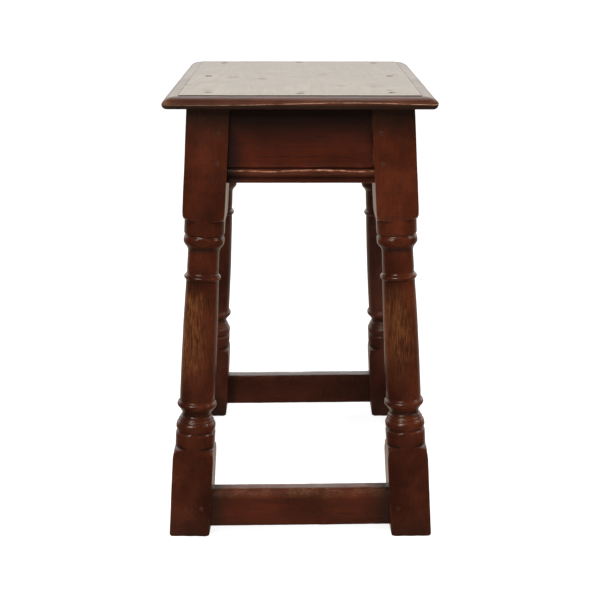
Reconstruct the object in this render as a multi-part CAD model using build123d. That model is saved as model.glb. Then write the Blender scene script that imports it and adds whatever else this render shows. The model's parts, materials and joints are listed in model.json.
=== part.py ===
from build123d import *
import os
from math import atan2, degrees, sqrt

os.makedirs("parts", exist_ok=True)

# A joined oak stool: a moulded board on four splayed, turned legs, tied together by four
# rails and four stretchers. Every joint is a mortise and tenon held by wooden pegs.
# Millimetres, +Z up, origin on the floor under the middle of the stool. X runs across
# the narrow ends, Y along the length.

# ---- the whole stool ------------------------------------------------------------------
stool_height = 551
top_width = 320
top_length = 440
board_thick = 15
frame_height = stool_height - board_thick

# ---- legs -----------------------------------------------------------------------------
leg_square = 51
leg_half = leg_square / 2
leg_arris = 1.2
overhang_across = 26.5
overhang_along = 20.5
leg_centre_x = top_width / 2 - overhang_across - leg_half
leg_centre_y = top_length / 2 - overhang_along - leg_half
splay_across = 0.060
splay_along = 0.055
foot_round = 4.5

# ---- the turning, as cut into the square stock ------------------------------------------
# Depths are below the flats of the stock. Widths run along the leg. A bow is how far a round
# stretch stands out from the straight line between its ends, or for a hollow, sinks behind it.
turned_clear = 1
turned_radius = leg_half * sqrt(2) + turned_clear
bead_facets = 3
hollow_facets = 2
shoulder_width = 10
shoulder_bow = 2
neck_depth = 0.3
quirk_depth = 1.7
quirk_width = 3.5
bead_edge_depth = 0.8
bead_width = 11
bead_bow = 1.2
bead_fall = 1.3

# Above the long column, counted down from the top of the leg
upper_block = 126
upper_neck_width = 16.5
hollow_width = 7.5
hollow_bow = 0.7
shaft_width = 24
shaft_depth = 6.2
ring_width = 9
ring_bow = 2.6

# Below it, counted up from the floor
lower_block = 105
lower_neck_width = 18
step_width = 3
step_depth = 3.3
slope_width = 3
cove_width = 6
cove_edge_depth = 5.9
cove_depth = 6.8
cove_bow = 0.9
cone_width = 6
low_ring_width = 9
low_ring_depth = 1.9
low_ring_bow = 1.2

column_foot_depth = 3.8
column_top_depth = 5.4
column_bow = 0.7

# How far each leg's upper and lower turning sit above the others', as turned by eye
turning_rise = {
    "front_left": (-0.5, -1.6),
    "front_right": (0.5, 1.6),
    "back_left": (0.2, -0.7),
    "back_right": (-0.4, 0.8),
}

# ---- rails and stretchers ----------------------------------------------------------------
rail_height = 87
rail_thick = 24
rail_inset = 3
stretcher_height = 45
stretcher_lift = 15.6
stretcher_thick = 24
stretcher_inset = 2.2
stretcher_arris = 2
tread_wear_drop = 8
tread_wear_depth = 6
tread_wear_bow = 1

# Moulding worked on the lower edge of each rail: a groove, an ovolo, a step and a hollow
mould_height = 16
groove_depth = 2.5
ovolo_height = 8
ovolo_fall = 0.5
ovolo_bow = 1.6
mould_step = 1.5
hollow_reach = 6
rail_hollow_bow = 1.2

# ---- joints --------------------------------------------------------------------------------
tenon_thick = 9
tenon_cheek = 8
tenon_length = 29
tenon_shoulder = 6
mortise_fit = 0.05
mortise_end_gap = 1.0

peg_radius = 3.75
peg_taper = 0.35
peg_facets = 8
peg_length = 30
peg_proud = 0.6
peg_fit = 0.05
bore_facets = 10
bore_beyond = 1
peg_from_arris = 11
rail_peg_shares = (0.345, 0.76)
stretcher_peg_rise = 22

top_peg_radius = 4
top_peg_depth = 24
top_peg_recess = 0.3

# ---- top board -----------------------------------------------------------------------------
nose_drop = 8.5
top_mould_width = 18.5
top_quirk_drop = 1.2
top_ovolo_bow = 2.2
under_inset = 5
under_bow = 1.4
corner_radius = 8.5
corner_clear = 1

# How far stock and tools run past the ends of what they cut
spare = 12

LEGS = {"front_left": (-1, -1), "front_right": (1, -1), "back_left": (-1, 1), "back_right": (1, 1)}

# Length along a leg for each millimetre of height
lean = sqrt(1 + splay_across**2 + splay_along**2)


def leg_plane(across, along):
    """The leg's own plane: origin on its axis at the floor, local Z up the leg."""
    foot_x = across * (leg_centre_x + splay_across * frame_height)
    foot_y = along * (leg_centre_y + splay_along * frame_height)
    return Plane(
        origin=(foot_x, foot_y, 0),
        x_dir=(1, 0, across * splay_across),
        z_dir=(-across * splay_across, -along * splay_along, 1),
    )


def end_plane(along):
    """The plane of the two legs at one narrow end, local Y across the thickness of its rail."""
    foot_y = along * (leg_centre_y + splay_along * frame_height)
    return Plane(origin=(0, foot_y, 0), x_dir=(1, 0, 0), z_dir=(0, -along * splay_along, 1))


def side_plane(across):
    """The plane of the two legs at one long side, local X across the thickness of its rail."""
    foot_x = across * (leg_centre_x + splay_across * frame_height)
    return Plane(
        origin=(foot_x, 0, 0),
        x_dir=(1, 0, across * splay_across),
        z_dir=(-across * splay_across, 0, 1),
    )


# ---- legs ----------------------------------------------------------------------------------
def drawn(start, *stretches):
    """A closed face, drawn anticlockwise from a start point: stretches with an end point and a bow."""
    edges = []
    for end, bow in (*stretches, (start, 0)):
        edges.append(SagittaArc(start, end, -bow) if bow else Line(start, end))
        start = end
    return make_face(Curve() + edges)


def turned(start, *stretches):
    """The same in straight cuts of the chisel, with a few narrow flats round each bow."""
    points = [Vector(*start)]
    for end, bow in stretches:
        begin = points[-1]
        chord = Vector(*end) - begin
        outward = Vector(chord.Y, -chord.X).normalized()
        flats = bead_facets if bow > 0 else hollow_facets if bow < 0 else 1
        for step in range(1, flats + 1):
            share = step / flats
            points.append(begin + chord * share + outward * 4 * bow * share * (1 - share))
    return make_face(Polyline(*points, close=True))


def turned_form(high_rise, low_rise):
    """The round form that the lathe leaves, about local Z, wider than the stock at the blocks."""

    def cut(depth, height):
        return leg_half - depth, height * lean

    block = leg_half - turned_radius
    bead_top_depth = bead_edge_depth + bead_fall

    upper_shoulder = frame_height - upper_block + high_rise
    upper_neck_top = upper_shoulder - shoulder_width
    upper_neck_foot = upper_neck_top - upper_neck_width
    upper_bead_top = upper_neck_foot - quirk_width
    upper_bead_foot = upper_bead_top - bead_width
    shaft_top = upper_bead_foot - hollow_width
    ring_top = shaft_top - shaft_width
    ring_foot = ring_top - ring_width

    lower_shoulder = lower_block + low_rise
    lower_neck_foot = lower_shoulder + shoulder_width
    lower_neck_top = lower_neck_foot + lower_neck_width
    lower_bead_foot = lower_neck_top + quirk_width
    lower_bead_top = lower_bead_foot + bead_width
    step_top = lower_bead_top + step_width
    cove_foot = step_top + slope_width
    cove_top = cove_foot + cove_width
    low_ring_foot = cove_top + cone_width
    low_ring_top = low_ring_foot + low_ring_width

    profile = Plane.XZ * turned(
        (0, -spare * lean),
        (cut(block, -spare), 0),
        # lower block, its rounded shoulder, the neck and the quirk over it
        (cut(block, lower_shoulder), 0),
        (cut(neck_depth, lower_neck_foot), shoulder_bow),
        (cut(neck_depth, lower_neck_top), 0),
        (cut(quirk_depth, lower_neck_top + quirk_width / 2), 0),
        # bead, step, slope and cove
        (cut(bead_edge_depth, lower_bead_foot), 0),
        (cut(bead_top_depth, lower_bead_top), bead_bow),
        (cut(step_depth, step_top), 0),
        (cut(cove_edge_depth, cove_foot), 0),
        (cut(cove_depth, cove_top), -cove_bow),
        # cone, the ring under the column, the column
        (cut(low_ring_depth, low_ring_foot), 0),
        (cut(low_ring_depth, low_ring_top), low_ring_bow),
        (cut(column_foot_depth, low_ring_top), 0),
        (cut(column_top_depth, ring_foot), column_bow),
        # the ring and the short shaft above the column
        (cut(shaft_depth, ring_top), ring_bow),
        (cut(shaft_depth, shaft_top), 0),
        # hollow, bead and quirk, the neck and the rounded shoulder of the upper block
        (cut(bead_top_depth + hollow_bow, upper_bead_foot), -hollow_bow),
        (cut(bead_top_depth, upper_bead_foot), 0),
        (cut(bead_edge_depth, upper_bead_top), bead_bow),
        (cut(quirk_depth, upper_bead_top + quirk_width / 2), 0),
        (cut(neck_depth, upper_neck_foot), 0),
        (cut(neck_depth, upper_neck_top), 0),
        (cut(block, upper_shoulder), shoulder_bow),
        (cut(block, frame_height + spare), 0),
        ((0, (frame_height + spare) * lean), 0),
    )
    return revolve(profile, Axis.Z)


def foot_waste(across, along):
    """The wood worn off round the bottom of a foot, as a collar about the rounded form."""
    lean_clear = foot_round * max(splay_across, splay_along)
    width = leg_square + 2 * lean_clear
    rounded = Pos(0, 0, foot_round) * Box(width, width, 2 * foot_round)
    rounded = fillet(rounded.faces().sort_by(Axis.Z)[0].edges(), foot_round)
    collar = Pos(0, 0, foot_round / 2) * Box(2 * leg_square, 2 * leg_square, foot_round)
    foot_x = across * (leg_centre_x + splay_across * frame_height)
    foot_y = along * (leg_centre_y + splay_along * frame_height)
    return Pos(foot_x, foot_y, 0) * (collar - rounded)


def bare_leg(name):
    """Square stock, turned between its blocks, leaning both ways, cut level at top and floor."""
    across, along = LEGS[name]
    stock = Pos(0, 0, frame_height * lean / 2) * Box(leg_square, leg_square, frame_height * lean + 2 * spare)
    stock = chamfer(stock.edges().filter_by(Axis.Z), leg_arris)
    leg = leg_plane(across, along) * (stock & turned_form(*turning_rise[name]))
    leg = split(leg, bisect_by=Plane.XY, keep=Keep.TOP)
    leg = split(leg, bisect_by=Plane.XY.offset(frame_height), keep=Keep.BOTTOM)
    return leg - foot_waste(across, along)


# ---- rails and stretchers ---------------------------------------------------------------------
def rail_section():
    """Section of a rail as (out, up) from the leg plane, its lower outer edge moulded."""
    face = leg_half - rail_inset
    back = face - rail_thick
    low = (frame_height - rail_height) * lean
    high = (frame_height + tenon_shoulder) * lean
    groove_top = low + mould_height
    ovolo_top = groove_top - groove_depth
    ovolo_foot = ovolo_top - ovolo_height
    step_foot = ovolo_foot - mould_step
    groove = face - groove_depth
    ovolo_in = groove - ovolo_fall
    step_in = ovolo_in - mould_step
    return drawn(
        (back, high),
        ((back, low), 0),
        ((step_in - hollow_reach, low), 0),
        ((step_in, step_foot), -rail_hollow_bow),
        ((step_in, ovolo_foot), 0),
        ((ovolo_in, ovolo_foot), 0),
        ((groove, ovolo_top), ovolo_bow),
        ((face, groove_top), 0),
        ((face, high), 0),
    )


def stretcher_section():
    """Section of a stretcher as (out, up), its upper outer arris worn away by feet."""
    face = leg_half - stretcher_inset
    back = face - stretcher_thick
    low = stretcher_lift * lean
    high = (stretcher_lift + stretcher_height) * lean
    ease = stretcher_arris
    return drawn(
        (back, high - ease),
        ((back, low + ease), 0),
        ((back + ease, low), 0),
        ((face - ease, low), 0),
        ((face, low + ease), 0),
        ((face, high - tread_wear_drop), 0),
        ((face - tread_wear_depth, high), tread_wear_bow),
        ((back + ease, high), 0),
    )


def tenon_section(low, high, fit):
    """Section of a tenon, or with a fit the slot cut for it, as (out, up) from the leg plane."""
    width = tenon_thick + 2 * fit
    height = (high - low) * lean + 2 * fit
    middle = leg_half - tenon_cheek - tenon_thick / 2
    return Pos(middle, (high + low) / 2 * lean) * Rectangle(width, height)


def end_bar(section, along):
    """The section drawn out along X in the plane of one narrow end."""
    reach = leg_centre_x + splay_across * frame_height + leg_square
    drawn = Plane(origin=(-reach, 0, 0), x_dir=(0, along, 0), z_dir=(along, 0, 0))
    length = 2 * reach * along
    return end_plane(along) * (drawn * extrude(section, length))


def side_bar(section, across):
    """The section drawn out along Y in the plane of one long side."""
    reach = leg_centre_y + splay_along * frame_height + leg_square
    drawn = Plane(origin=(0, -reach, 0), x_dir=(across, 0, 0), z_dir=(0, -across, 0))
    length = -2 * reach * across
    return side_plane(across) * (drawn * extrude(section, length))


def cut_at_legs(bar, names, across_end, depth):
    """Cuts a bar at its two legs, at a depth inside the faces that its shoulders meet."""
    for name in names:
        across, along = LEGS[name]
        plane = leg_plane(across, along)
        if across_end:
            face = Plane(
                origin=plane.from_local_coords(Vector(-across * (leg_half - depth), 0, 0)),
                z_dir=plane.x_dir * across,
            )
        else:
            face = Plane(
                origin=plane.from_local_coords(Vector(0, -along * (leg_half - depth), 0)),
                z_dir=plane.y_dir * along,
            )
        bar = split(bar, bisect_by=face, keep=Keep.BOTTOM)
    return bar


def joined_bar(section, low, high, names, side, across_end):
    """A rail or stretcher with its two tenons, and the slot that the tenons need in the legs."""
    draw = end_bar if across_end else side_bar
    body = cut_at_legs(draw(section, side), names, across_end, 0)
    tenons = cut_at_legs(draw(tenon_section(low, high, 0), side), names, across_end, tenon_length)
    slot = cut_at_legs(
        draw(tenon_section(low, high, mortise_fit), side), names, across_end, tenon_length + mortise_end_gap
    )
    bar = split(body + tenons, bisect_by=Plane.XY.offset(frame_height), keep=Keep.BOTTOM)
    return bar, slot


# ---- pegs ---------------------------------------------------------------------------------------
def riven_peg(radius, length):
    """A tapered peg along +Z, its head at the origin, pared to flats as it is driven."""
    slope = degrees(atan2(peg_taper, length))
    return extrude(RegularPolygon(radius, peg_facets), length, taper=slope)


def peg_place(name, across_end, height):
    """Where a joint peg enters a leg's outer face, its local Z running into the wood."""
    across, along = LEGS[name]
    aside = leg_half - peg_from_arris
    if across_end:
        start = (-across * aside, along * leg_half, height * lean)
        inward = (0, -along, 0)
    else:
        start = (across * leg_half, -along * aside, height * lean)
        inward = (-across, 0, 0)
    return leg_plane(across, along) * Plane(origin=start, z_dir=inward)


def peg_bore(radius, length):
    """A bore along +Z from the origin, with flats that just clear a peg of the radius."""
    return extrude(RegularPolygon(radius + peg_fit, bore_facets, major_radius=False), length)


def joint_pegs(names, across_end, heights):
    """The pegs of one rail or stretcher, and the holes bored for them."""
    pegs = []
    holes = []
    for name in names:
        for height in heights:
            place = peg_place(name, across_end, height)
            pegs.append(place * Pos(0, 0, -peg_proud) * riven_peg(peg_radius, peg_length))
            holes.append(place * Pos(0, 0, -bore_beyond) * peg_bore(peg_radius, bore_beyond + peg_length))
    return pegs, holes


# ---- top board ------------------------------------------------------------------------------------
def board_section(width):
    """Section of the board across a width, moulded on both edges, its underside at local Y 0."""
    half = width / 2
    nose = board_thick - nose_drop
    quirk = half - top_mould_width
    quirk_foot = board_thick - top_quirk_drop
    return drawn(
        (half - under_inset, 0),
        ((half, nose), under_bow),
        ((quirk, quirk_foot), top_ovolo_bow),
        ((quirk, board_thick), 0),
        ((-quirk, board_thick), 0),
        ((-quirk, quirk_foot), 0),
        ((-half, nose), top_ovolo_bow),
        ((-half + under_inset, 0), under_bow),
    )


def moulded_board():
    """The board: the same edge worked along all four sides, so that the mouldings mitre."""
    long_way = Plane(origin=(0, 0, frame_height), x_dir=(1, 0, 0), z_dir=(0, -1, 0))
    cross_way = Plane(origin=(0, 0, frame_height), x_dir=(0, 1, 0), z_dir=(1, 0, 0))
    lengthwise = long_way * extrude(board_section(top_width), top_length / 2 + spare, both=True)
    crosswise = cross_way * extrude(board_section(top_length), top_width / 2 + spare, both=True)
    corners = RectangleRounded(top_width + 2 * corner_clear, top_length + 2 * corner_clear, corner_radius)
    trimmed = Pos(0, 0, frame_height - spare) * extrude(corners, board_thick + 2 * spare)
    return lengthwise & crosswise & trimmed


def top_peg_places():
    """A peg through the board into each leg and into the middle of each rail."""
    rail_middle = leg_half - rail_inset - rail_thick / 2
    places = [(across * leg_centre_x, along * leg_centre_y) for across, along in LEGS.values()]
    places += [(0, along * (leg_centre_y + rail_middle)) for along in (-1, 1)]
    places += [(across * (leg_centre_x + rail_middle), 0) for across in (-1, 1)]
    return places


def top_pegs():
    """The pegs that hold the board down, and the holes bored for them."""
    down = Plane(origin=(0, 0, stool_height - top_peg_recess), x_dir=(1, 0, 0), z_dir=(0, 0, -1))
    length = board_thick - top_peg_recess + top_peg_depth
    pegs = []
    holes = []
    for x, y in top_peg_places():
        pegs.append(Pos(x, y, 0) * down * riven_peg(top_peg_radius, length))
        bore = peg_bore(top_peg_radius, length + 2 * bore_beyond)
        holes.append(Pos(x, y, 0) * down * Pos(0, 0, -bore_beyond) * bore)
    return pegs, holes


# ---- assembly -----------------------------------------------------------------------------------------
rail_low = frame_height - rail_height
stretcher_top = stretcher_lift + stretcher_height
BARS = {
    "rail": (
        rail_section(),
        rail_low + mould_height,
        frame_height - tenon_shoulder,
        [frame_height - share * rail_height for share in rail_peg_shares],
    ),
    "stretcher": (
        stretcher_section(),
        stretcher_lift + tenon_shoulder,
        stretcher_top - tenon_shoulder - tread_wear_drop / 2,
        [stretcher_lift + stretcher_peg_rise],
    ),
}
SIDES = {
    "end_{}_front": (("front_left", "front_right"), -1, True),
    "end_{}_back": (("back_left", "back_right"), 1, True),
    "side_{}_left": (("front_left", "back_left"), -1, False),
    "side_{}_right": (("front_right", "back_right"), 1, False),
}

parts = {}
leg_cuts = {name: [] for name in LEGS}
board_pegs, board_holes = top_pegs()

for kind, (section, low, high, peg_heights) in BARS.items():
    for pattern, (names, side, across_end) in SIDES.items():
        bar, slot = joined_bar(section, low, high, names, side, across_end)
        pegs, holes = joint_pegs(names, across_end, peg_heights)
        if kind == "rail":
            bar -= board_holes
        parts[pattern.format(kind)] = bar - holes
        parts["pegs_" + pattern.format(kind)] = Compound(children=pegs)
        for name in names:
            leg_cuts[name] += [slot, *holes]

for name in LEGS:
    parts["leg_" + name] = bare_leg(name) - leg_cuts[name] - board_holes

parts["top_board"] = moulded_board() - board_holes
parts["pegs_top_board"] = Compound(children=board_pegs)

for name, shape in parts.items():
    export_step(shape, f"parts/{name}.step")
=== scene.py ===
import json
from math import cos, exp, pi, radians, sin, sqrt

import bpy
from mathutils import Matrix, Vector, noise

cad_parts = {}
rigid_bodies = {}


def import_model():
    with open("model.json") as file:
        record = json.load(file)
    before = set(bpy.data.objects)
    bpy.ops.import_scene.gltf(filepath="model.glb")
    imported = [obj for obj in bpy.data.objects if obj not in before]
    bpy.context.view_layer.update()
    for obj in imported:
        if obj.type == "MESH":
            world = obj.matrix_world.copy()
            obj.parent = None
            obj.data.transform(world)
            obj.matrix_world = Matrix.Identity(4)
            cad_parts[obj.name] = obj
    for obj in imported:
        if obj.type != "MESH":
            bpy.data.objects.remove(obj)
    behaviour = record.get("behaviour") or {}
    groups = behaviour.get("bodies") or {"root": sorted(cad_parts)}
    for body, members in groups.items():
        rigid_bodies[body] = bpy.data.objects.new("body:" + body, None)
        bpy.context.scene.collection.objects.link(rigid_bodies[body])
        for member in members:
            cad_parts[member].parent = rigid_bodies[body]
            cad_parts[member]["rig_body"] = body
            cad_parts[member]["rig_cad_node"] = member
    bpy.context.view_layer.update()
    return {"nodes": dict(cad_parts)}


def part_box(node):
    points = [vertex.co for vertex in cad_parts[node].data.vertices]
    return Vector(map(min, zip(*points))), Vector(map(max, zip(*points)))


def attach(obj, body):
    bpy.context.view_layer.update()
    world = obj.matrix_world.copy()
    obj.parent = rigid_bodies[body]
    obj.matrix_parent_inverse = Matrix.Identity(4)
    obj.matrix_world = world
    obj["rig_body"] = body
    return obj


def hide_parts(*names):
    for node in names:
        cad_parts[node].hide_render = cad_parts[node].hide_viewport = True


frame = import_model()

# ---- the camera ------------------------------------------------------------------------------
# It stands in front of a narrow end, at chest height, and looks down on the stool.
eye = (-0.00529, -1.64007, 0.72875)
look_down = 16.4
look_right = 0.362
tilt = -0.096
lens = 74.19
lens_shift = (-0.0061, -0.0018)

bpy.ops.object.camera_add(
    location=eye, rotation=(radians(90 - look_down), radians(tilt), radians(-look_right))
)
camera = bpy.context.object
camera.data.lens = lens
camera.data.shift_x, camera.data.shift_y = lens_shift
bpy.context.scene.camera = camera

# ---- the studio ------------------------------------------------------------------------------
# A pale floor, a bright wall far behind and a dim room behind the camera. Four soft lights: one
# in front on each side, a small one at the right, and a broad one overhead.
floor_size = 60
floor_colour = (0.45, 0.45, 0.45, 1)
floor_roughness = 0.9
glow_colour = (1, 1, 1, 1)
floor_glow = 0.85
wall_strength = 2.1
wall_colour = (1, 1, 1, 1)
low_colour = (1.0, 0.84, 0.70, 1)
room_strength = 0.05
wall_start, wall_full = 0.25, 0.85
low_share = 0.28
dim_start, dim_full = -0.12, 0.10
warm_full, white_full = 0.02, 0.14
soft_lights = {
    "left_light": {"place": (-0.95, -1.85, 1.50), "wide": 0.75, "tall": 0.28, "watts": 21, "glint": True},
    "right_light": {"place": (1.65, -1.20, 1.50), "wide": 0.55, "tall": 0.26, "watts": 17, "glint": False},
    "side_light": {"place": (2.00, -0.30, 1.40), "wide": 0.60, "tall": 0.34, "watts": 6, "glint": True},
    "high_light": {"place": (-0.15, -0.95, 2.10), "wide": 1.30, "tall": 1.30, "watts": 41, "glint": False},
}
light_target = Vector((0, 0, 0.3))

bpy.ops.mesh.primitive_plane_add(size=floor_size, location=(0, 0, 0))
floor = bpy.context.object
floor.name = "floor"
floor.visible_glossy = False
floor_paint = bpy.data.materials.new("floor_paint")
floor_paint.use_nodes = True
floor_shader = floor_paint.node_tree.nodes["Principled BSDF"]
floor_shader.inputs["Base Color"].default_value = floor_colour
floor_shader.inputs["Roughness"].default_value = floor_roughness
floor_shader.inputs["Emission Color"].default_value = glow_colour
floor_shader.inputs["Emission Strength"].default_value = floor_glow
floor.data.materials.append(floor_paint)

for name, light in soft_lights.items():
    bpy.ops.object.light_add(type="AREA", location=light["place"])
    lamp = bpy.context.object
    lamp.name = name
    lamp.data.shape = "RECTANGLE"
    lamp.data.size = light["wide"]
    lamp.data.size_y = light["tall"]
    lamp.visible_glossy = light["glint"]
    lamp.data.energy = light["watts"]
    towards = light_target - Vector(light["place"])
    lamp.rotation_euler = towards.to_track_quat("-Z", "Y").to_euler()


def add(tree, kind, **values):
    """A node with its settings; names that are sockets are set as values or linked."""
    node = tree.nodes.new("ShaderNode" + kind)
    for key, value in values.items():
        if hasattr(node, key):
            setattr(node, key, value)
            continue
        socket = node.inputs[int(key[1:])] if key[0] == "_" else node.inputs[key.replace("_", " ")]
        if isinstance(value, bpy.types.NodeSocket):
            tree.links.new(value, socket)
        else:
            socket.default_value = value
    return node


def ramp(tree, value, start, full, low=0, high=1, kind="LINEAR"):
    """Goes straight from low to high while a value goes from start to full."""
    span = {"From_Min": start, "From_Max": full, "To_Min": low, "To_Max": high}
    return add(tree, "MapRange", interpolation_type=kind, Value=value, **span).outputs["Result"]


def fade(tree, value, start, full, low=0, high=1):
    """Does the same, and eases in and out."""
    return ramp(tree, value, start, full, low, high, "SMOOTHSTEP")


def both(tree, one, other):
    """Two shares multiplied."""
    return add(tree, "Math", operation="MULTIPLY", _0=one, _1=other).outputs[0]


def blend(tree, under, over, share):
    """One colour laid over another by a share."""
    return add(tree, "Mix", data_type="RGBA", _0=share, _6=under, _7=over).outputs[2]


room = bpy.data.worlds.new("room")
bpy.context.scene.world = room
room.use_nodes = True
air = room.node_tree
background = air.nodes["Background"]
direction = add(air, "SeparateXYZ", Vector=add(air, "TexCoord").outputs["Generated"])
wall = fade(air, direction.outputs["Y"], wall_start, wall_full, room_strength, wall_strength)
lowness = ramp(air, direction.outputs["Z"], dim_start, dim_full, low_share)
whiteness = ramp(air, direction.outputs["Z"], warm_full, white_full)
air.links.new(both(air, wall, lowness), background.inputs["Strength"])
air.links.new(blend(air, low_colour, wall_colour, whiteness), background.inputs["Color"])
bpy.context.scene.view_settings.view_transform = "Standard"

# ---- the legs ----------------------------------------------------------------------------------
# Each leg is one length of square oak, turned between its blocks, set leaning both ways, then
# stained, waxed and handled for generations: its arrises are soft and its quirks hold old dirt.
leg_square = 0.051
leg_half = leg_square / 2
leg_height = 0.536
leg_centre = (0.108, 0.174)
splay = (0.060, 0.055)
lean = sqrt(1 + splay[0] ** 2 + splay[1] ** 2)
lean_degrees = (3.43, 3.15)
foot_place = (leg_centre[0] + splay[0] * leg_height, leg_centre[1] + splay[1] * leg_height)
leg_spare = 0.012
lathe_steps = 160
leg_spacing, column_spacing = 0.0028, 0.0035
bow_spacing, longest_bow = 0.0008, 0.03
column_swell = 0.0028
fine_foot, fine_spacing, plain_foot = 0.012, 0.001, 0.0135
shoulder_gap = 0.001
arris_least, arris_most = 0.0006, 0.0020
foot_wear, foot_wear_height, foot_round = 0.0034, 0.0058, 0.0020
shoulder_low, shoulder_high = 0.110, 0.402
shoulder_reach, shoulder_wear = 0.012, 0.0011

# How closely rubbed places and nicks follow each other across and along an arris, and how far
# apart the legs are taken from the same random lumps.
rub_across, rub_along = 20, 26
nick_across, nick_along, nick_share = 9, 60, 0.25
seed_step = 7.3

# Which corner a leg stands in, how far the marking out of its upper and lower turning strayed up,
# how far the leg strayed to the right, and how far it winds.
LEGS = {
    "front_left": (-1, -1, -0.0005, -0.0016, 0.0017, 0.031),
    "front_right": (1, -1, 0.0006, 0.0016, 0, 0.024),
    "back_left": (-1, 1, 0.0002, -0.0007, 0, 0),
    "back_right": (1, 1, -0.0004, 0.0008, 0, 0),
}

# The outline of the turning: radius, height and how far the stretch up to the next point swells
# (or, below nought, hollows). "low" points move together, and so do "high" ones.
block_radius = 0.038
low_turning = [
    (block_radius, 0.1045, 0.0022),  # shoulder of the foot block
    (0.0253, 0.1155, 0),  # neck
    (0.0254, 0.1318, 0.0002),
    (0.0251, 0.1333, 0),  # quirk
    (0.0237, 0.1350, 0),
    (0.0240, 0.1366, 0.0019),  # bead
    (0.0224, 0.1480, 0),
    (0.0220, 0.1487, 0),  # two small fillets above it
    (0.0223, 0.1493, 0.0001),
    (0.0216, 0.1509, 0),
    (0.0212, 0.1513, -0.0001),
    (0.0203, 0.1535, 0),
    (0.0196, 0.1540, -0.0009),  # cove
    (0.0187, 0.1595, 0),
    (0.0222, 0.1646, 0.0026),  # ring under the column
    (0.0224, 0.1740, 0),
    (0.0221, 0.1748, -0.0002),
    (0.0218, 0.1780, 0.0005),  # column
]
high_turning = [
    (0.0201, 0.3250, 0),
    (0.0202, 0.3260, 0.0026),  # ring above the column
    (0.0202, 0.3338, 0),
    (0.0199, 0.3344, -0.0004),
    (0.0196, 0.3400, 0),  # short shaft
    (0.01925, 0.3600, -0.0009),  # hollow
    (0.0220, 0.3678, 0),
    (0.0234, 0.3696, 0.0022),  # bead
    (0.0237, 0.3812, 0),
    (0.0236, 0.3819, 0),  # quirk
    (0.0249, 0.3838, 0.0001),  # neck
    (0.0253, 0.4000, 0.0026),  # shoulder of the upper block
    (block_radius, 0.4135, 0),
]


def outline_points(turning, rise, spacing):
    """Points up the outline, close together on bowed stretches and every few millimetres elsewhere."""
    points = []
    for (radius, height, swell), (next_radius, next_height, _) in zip(turning, turning[1:]):
        length = sqrt((next_radius - radius) ** 2 + (next_height - height) ** 2)
        steps = max(1, round(length / (bow_spacing if swell and length < longest_bow else spacing)))
        out = Vector((next_height - height, radius - next_radius)) / length
        for step in range(steps):
            share = step / steps
            bow = 4 * swell * share * (1 - share)
            points.append(
                (
                    radius + share * (next_radius - radius) + bow * out[0],
                    0,
                    height + rise + share * (next_height - height) + bow * out[1],
                )
            )
    points.append((turning[-1][0], 0, turning[-1][1] + rise))
    return points


def column_points(foot, head, spacing):
    """The long column between the rings, which swells a little."""
    steps = round((head[2] - foot[2]) / spacing)
    points = []
    for step in range(1, steps):
        swell = column_swell * (step / steps) * (1 - step / steps)
        radius = foot[0] + (head[0] - foot[0]) * step / steps + swell
        points.append((radius, 0, foot[2] + (head[2] - foot[2]) * step / steps))
    return points


def block_points(heights, spacing):
    """The straight outline of a block, from height to height."""
    return outline_points([(block_radius, height, 0) for height in heights], 0, spacing)


def select_only(piece):
    """Makes one piece the active and only selected object."""
    bpy.ops.object.select_all(action="DESELECT")
    piece.select_set(True)
    bpy.context.view_layer.objects.active = piece


def apply_modifier(piece, kind, **settings):
    """Adds one modifier to the piece, sets it and applies it."""
    modifier = piece.modifiers.new(kind.lower(), kind)
    for key, value in settings.items():
        setattr(modifier, key, value)
    select_only(piece)
    bpy.ops.object.modifier_apply(modifier=modifier.name)


def cloud_texture(name, size, depth):
    """Soft lumps of one size, used to take wood off unevenly."""
    texture = bpy.data.textures.new(name, "CLOUDS")
    texture.noise_scale = size
    texture.noise_depth = depth
    return texture


hand_work = cloud_texture("hand_work", size=0.045, depth=2)
knocks = cloud_texture("knocks", size=0.010, depth=1)
sharpest_round = radians(38)


def handled(piece, hollow, dent):
    """Takes a little wood off the faces, in broad hollows and in small knocks, and smooths the shading."""
    for texture, depth in ((hand_work, hollow), (knocks, dent)):
        apply_modifier(
            piece, "DISPLACE", texture=texture, texture_coords="LOCAL", mid_level=1, strength=depth
        )
    select_only(piece)
    bpy.ops.object.shade_smooth_by_angle(angle=sharpest_round)


def draw_outline(name, points):
    """Draws an open outline from point to point, and leaves it selected in edit mode."""
    bpy.ops.object.select_all(action="DESELECT")
    bpy.ops.mesh.primitive_plane_add(size=0.001, location=(0, 0, 0))
    form = bpy.context.object
    form.name = name
    bpy.ops.object.mode_set(mode="EDIT")
    bpy.ops.mesh.merge(type="CENTER")
    bpy.ops.transform.translate(value=points[0])
    for here, there in zip(points, points[1:]):
        step = Vector(there) - Vector(here)
        bpy.ops.mesh.extrude_vertices_move(TRANSFORM_OT_translate={"value": step})
    bpy.ops.mesh.select_all(action="SELECT")
    return form


def close_ends(weld):
    """Welds the swept outline, closes its open ends, turns its faces outwards and leaves edit mode."""
    bpy.ops.mesh.select_all(action="SELECT")
    bpy.ops.mesh.remove_doubles(threshold=weld)
    bpy.ops.mesh.select_all(action="DESELECT")
    bpy.ops.mesh.select_non_manifold()
    bpy.ops.mesh.edge_face_add()
    bpy.ops.mesh.select_all(action="SELECT")
    bpy.ops.mesh.normals_make_consistent(inside=False)
    bpy.ops.object.mode_set(mode="OBJECT")


def lathe(name, points, steps):
    """Spins an outline about Z into a closed round form."""
    form = draw_outline(name, points)
    bpy.ops.mesh.spin(steps=steps, angle=2 * pi, center=(0, 0, 0), axis=(0, 0, 1))
    close_ends(weld=1e-5)
    return form


def lumpy(*place):
    """Smooth random lumps, from -1 to 1."""
    return noise.noise(Vector(place))


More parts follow.
